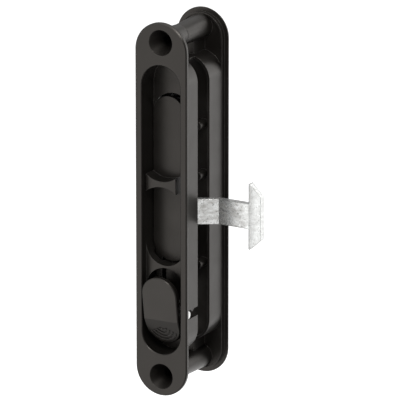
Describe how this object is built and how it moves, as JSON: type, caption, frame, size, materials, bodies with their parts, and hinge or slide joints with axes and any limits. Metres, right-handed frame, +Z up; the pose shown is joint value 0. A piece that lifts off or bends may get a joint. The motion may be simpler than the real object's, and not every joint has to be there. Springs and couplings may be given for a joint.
{
  "type": "screen door latch",
  "caption": "Flush sliding screen door latch: finger cup with a sprung paddle that swings a steel hook, a rocking lock lever, and a matching outside pull.",
  "frame": {"origin": "on the door's inside face, midway between the two screw holes", "axes": "+X towards the hook and the door jamb, +Y through the door to its outside, +Z up"},
  "size_m": [0.0584, 0.0481, 0.188],
  "materials": {
    "black_plastic": "moulded black, semi-gloss",
    "zinc_steel": "bright zinc plate",
    "spring_steel": "plain spring steel"
  },
  "bodies": {
    "housing": {"inside_housing": "black_plastic", "outside_pull": "black_plastic", "upper_pivot_pin": "zinc_steel", "lower_pivot_pin": "zinc_steel", "return_spring": "spring_steel", "detent_spring": "spring_steel", "detent_rivet": "spring_steel"},
    "paddle": {"latch_paddle": "black_plastic", "hook_strap": "zinc_steel", "strap_clips": "spring_steel"},
    "lever": {"lock_lever": "black_plastic", "lock_pin": "zinc_steel"}
  },
  "joints": [
    {"name": "latch", "type": "hinge", "parent": "housing", "child": "paddle", "pos_m": [-0.00195, 0.014, 0.012], "axis": [0, 0, 1], "range_deg": [0, 12], "stiffness_Nm_per_rad": 0.03, "springref_deg": -28.65, "deforming": ["return_spring"]},
    {"name": "lock", "type": "hinge", "parent": "housing", "child": "lever", "pos_m": [0, 0.0047, -0.0529], "axis": [1, 0, 0], "range_deg": [-16, 0]}
  ]
}
